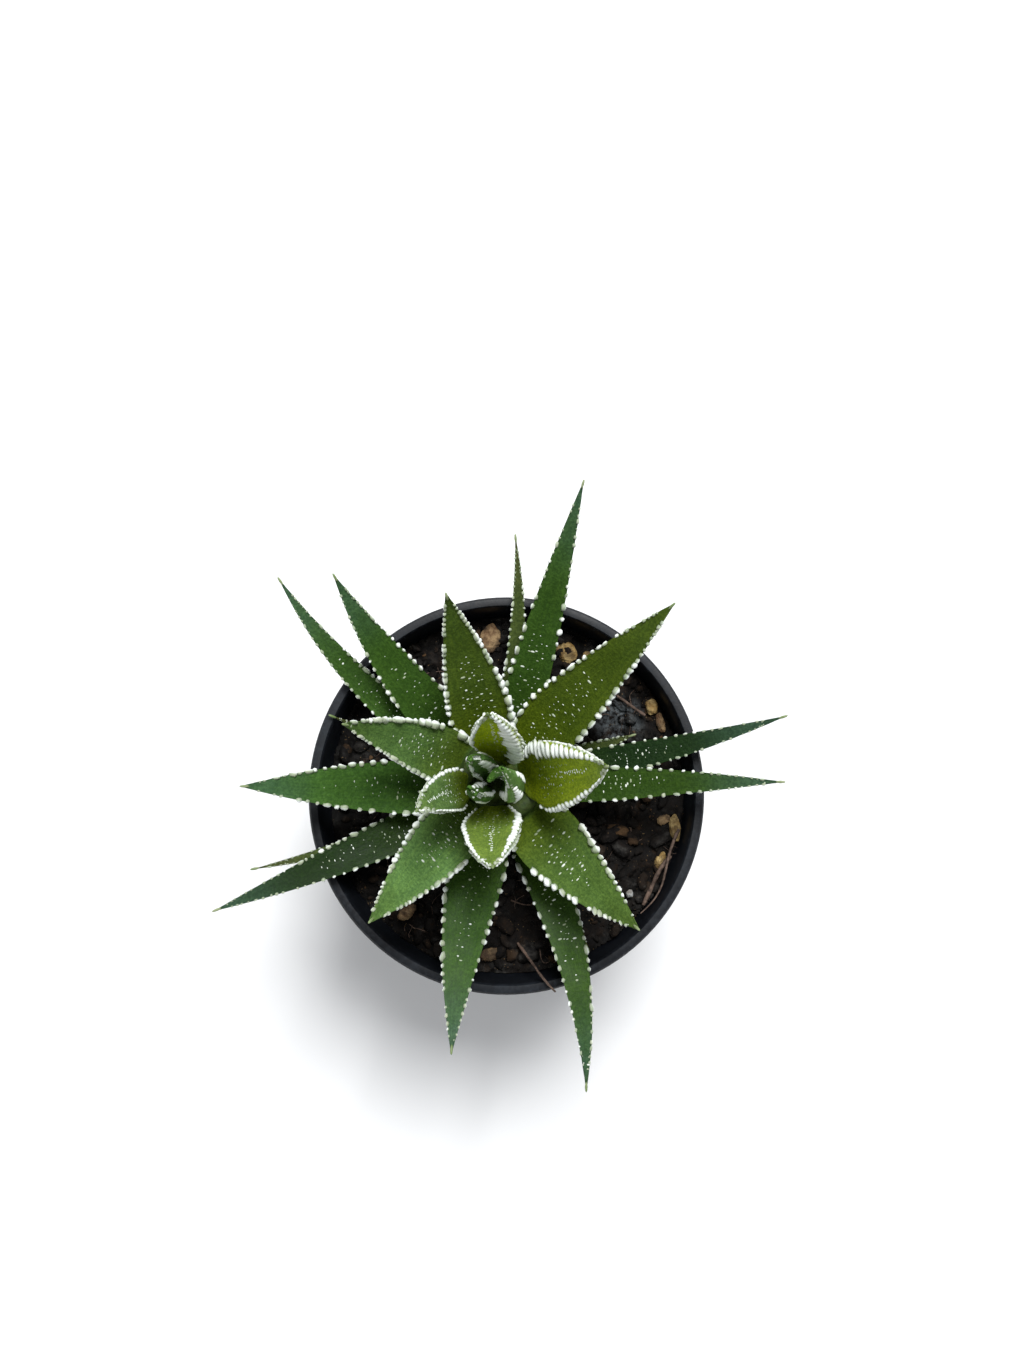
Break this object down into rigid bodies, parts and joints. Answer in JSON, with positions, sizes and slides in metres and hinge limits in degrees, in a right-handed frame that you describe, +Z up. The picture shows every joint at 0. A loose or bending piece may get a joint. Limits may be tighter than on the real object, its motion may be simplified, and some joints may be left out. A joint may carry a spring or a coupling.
{
  "type": "potted haworthia",
  "caption": "Potted haworthia: a rosette of thick pointed green leaves edged with white beads, rooted in dark potting mix in a round tapered black nursery pot.",
  "frame": {"origin": "centre of the pot's underside, on the pot's axis", "axes": "+Z up along the pot's axis; +X and +Y point at the right and the top of the view from straight above"},
  "size_m": [0.1244, 0.129, 0.126],
  "materials": {
    "pot_plastic": "satin, moulded, lightly dusty",
    "potting_mix": "matt, crumbly, damp",
    "stem_tissue": "matt, fibrous",
    "leaf_old": "waxy, dull, with white beads",
    "leaf_outer": "waxy satin, with white beads",
    "leaf_middle": "waxy satin, with white beads",
    "leaf_inner": "waxy satin, with white beads and bands",
    "leaf_bud": "waxy satin, with white beads and bands",
    "pumice": "rough, dusty",
    "perlite": "rough, chalky",
    "bark": "rough, fibrous",
    "dry_fibre": "matt, dry"
  },
  "bodies": {
    "root": {"pot": "pot_plastic", "stem_and_roots": "stem_tissue", "pumice_1": "pumice", "pumice_2": "pumice", "pumice_3": "pumice", "pumice_4": "pumice", "pumice_5": "pumice", "bark_chip_1": "bark", "bark_chip_2": "bark", "bark_chip_3": "bark", "bark_chip_4": "bark", "bark_chip_5": "bark", "perlite_1": "perlite", "perlite_2": "perlite", "dead_root": "dry_fibre", "straw_1": "dry_fibre", "straw_2": "dry_fibre", "soil": "potting_mix", "old_leaf_1": "leaf_old", "old_leaf_2": "leaf_old", "old_leaf_3": "leaf_old", "old_leaf_4": "leaf_old", "old_leaf_5": "leaf_old", "outer_leaf_1": "leaf_outer", "outer_leaf_2": "leaf_outer", "outer_leaf_3": "leaf_outer", "outer_leaf_4": "leaf_outer", "outer_leaf_5": "leaf_outer", "outer_leaf_6": "leaf_outer", "outer_leaf_7": "leaf_outer", "outer_leaf_8": "leaf_outer", "outer_leaf_9": "leaf_outer", "middle_leaf_1": "leaf_middle", "middle_leaf_2": "leaf_middle", "middle_leaf_3": "leaf_middle", "middle_leaf_4": "leaf_middle", "middle_leaf_5": "leaf_middle", "inner_leaf_1": "leaf_inner", "inner_leaf_2": "leaf_inner", "inner_leaf_3": "leaf_inner", "inner_leaf_4": "leaf_inner", "bud_leaf_1": "leaf_bud", "bud_leaf_2": "leaf_bud", "bud_leaf_3": "leaf_bud", "bud_leaf_4": "leaf_bud"}
  },
  "joints": []
}
